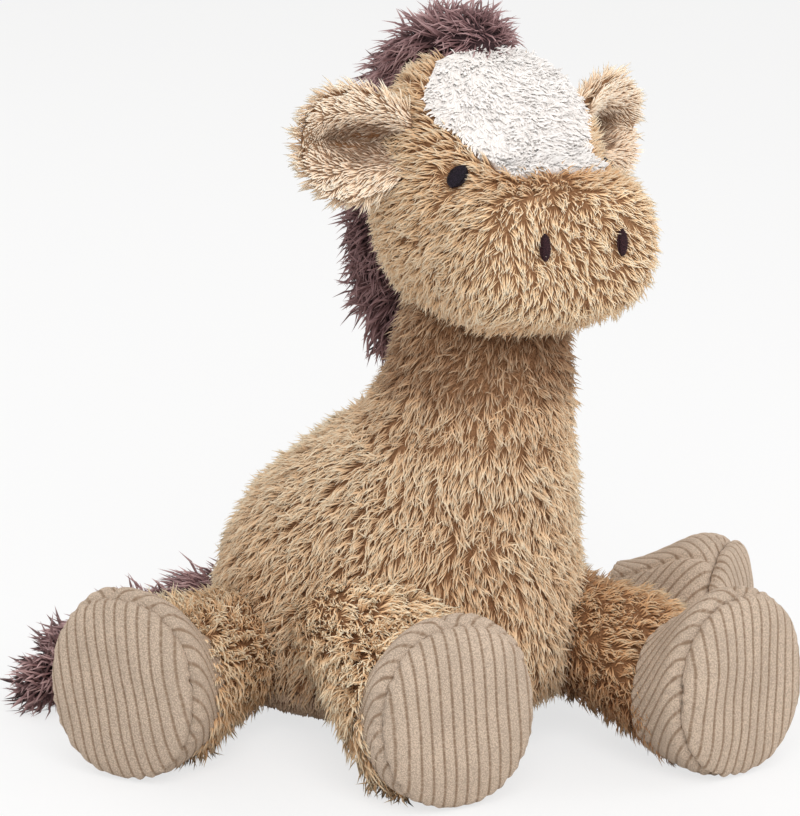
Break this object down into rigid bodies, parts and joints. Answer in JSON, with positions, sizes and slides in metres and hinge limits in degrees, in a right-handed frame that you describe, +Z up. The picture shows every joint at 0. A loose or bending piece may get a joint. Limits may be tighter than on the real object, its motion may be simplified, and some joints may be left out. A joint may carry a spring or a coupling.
{
  "type": "plush horse",
  "caption": "Seated stuffed toy horse with a nodding head, floppy legs ending in padded corduroy hooves, cupped ears, a shaggy mane and a tail that lies along the floor.",
  "frame": {"origin": "on the floor under the belly, on the flat of the seat panel, in the head's middle plane when it isn't tilted", "axes": "+Z up; the horse faces -Y and its right side is -X"},
  "size_m": [0.3628, 0.3121, 0.3455],
  "materials": {
    "tan_plush": "long soft pile",
    "leg_plush": "long soft pile, deeper tan",
    "short_pile": "short brown pile",
    "white_plush": "dense short white pile",
    "dark_plush": "long shaggy pile with lighter tips",
    "corduroy": "wide-wale corduroy",
    "ear_nap": "short velour nap",
    "eye_thread": "satin stitch",
    "nostril_thread": "satin stitch",
    "fibrefill": "loose fibre",
    "calico": "plain weave"
  },
  "bodies": {
    "torso": {"body_cover": "tan_plush", "seat_panel": "short_pile", "body_stuffing": "fibrefill", "seat_pellet_bag": "calico"},
    "head": {"head_cover": "tan_plush", "head_stuffing": "fibrefill", "blaze": "white_plush", "eye_right": "eye_thread", "eye_left": "eye_thread", "nostril_right": "nostril_thread", "nostril_left": "nostril_thread", "mane": "dark_plush"},
    "ear_right": {"ear_back_right": "tan_plush", "ear_lining_right": "ear_nap"},
    "ear_left": {"ear_back_left": "tan_plush", "ear_lining_left": "ear_nap"},
    "leg_front_right": {"leg_cover_front_right": "leg_plush", "hoof_upper_front_right": "corduroy", "hoof_sole_front_right": "corduroy", "leg_stuffing_front_right": "fibrefill"},
    "leg_front_left": {"leg_cover_front_left": "leg_plush", "hoof_upper_front_left": "corduroy", "hoof_sole_front_left": "corduroy", "leg_stuffing_front_left": "fibrefill"},
    "leg_hind_right": {"leg_cover_hind_right": "leg_plush", "hoof_upper_hind_right": "corduroy", "hoof_sole_hind_right": "corduroy", "leg_stuffing_hind_right": "fibrefill"},
    "leg_hind_left": {"leg_cover_hind_left": "leg_plush", "hoof_upper_hind_left": "corduroy", "hoof_sole_hind_left": "corduroy", "leg_stuffing_hind_left": "fibrefill"},
    "tail": {"tail": "dark_plush"}
  },
  "joints": [
    {"name": "head_nod", "type": "hinge", "parent": "torso", "child": "head", "pos_m": [0, -0.074, 0.205], "axis": [0.9986, 0, -0.0523], "range_deg": [-12, 10]},
    {"name": "ear_flap_right", "type": "hinge", "parent": "head", "child": "ear_right", "pos_m": [-0.04206, -0.078, 0.29482], "axis": [-0.0433, 0.0425, 0.9982], "range_deg": [-8, 20], "stiffness_Nm_per_rad": 0.01},
    {"name": "ear_flap_left", "type": "hinge", "parent": "head", "child": "ear_left", "pos_m": [0.0513, -0.078, 0.28993], "axis": [0.1474, 0.0425, 0.9882], "range_deg": [-20, 8], "stiffness_Nm_per_rad": 0.01},
    {"name": "hip_front_right", "type": "hinge", "parent": "torso", "child": "leg_front_right", "pos_m": [-0.05031, -0.042, 0.059], "axis": [0, 0, 1], "range_deg": [-22, 0]},
    {"name": "hip_front_left", "type": "hinge", "parent": "torso", "child": "leg_front_left", "pos_m": [0.0585, -0.07199, 0.044], "axis": [0, 0, 1], "range_deg": [0, 22]},
    {"name": "hip_hind_right", "type": "hinge", "parent": "torso", "child": "leg_hind_right", "pos_m": [-0.077, 0.02101, 0.037], "axis": [0, 0, 1], "range_deg": [-10, 8]},
    {"name": "hip_hind_left", "type": "hinge", "parent": "torso", "child": "leg_hind_left", "pos_m": [0.07799, 0.014, 0.037], "axis": [0, 0, 1], "range_deg": [-4, 18]},
    {"name": "tail_swing", "type": "hinge", "parent": "torso", "child": "tail", "pos_m": [0, 0.11169, 0.04], "axis": [0, 0, 1], "range_deg": [-95, 0]}
  ]
}
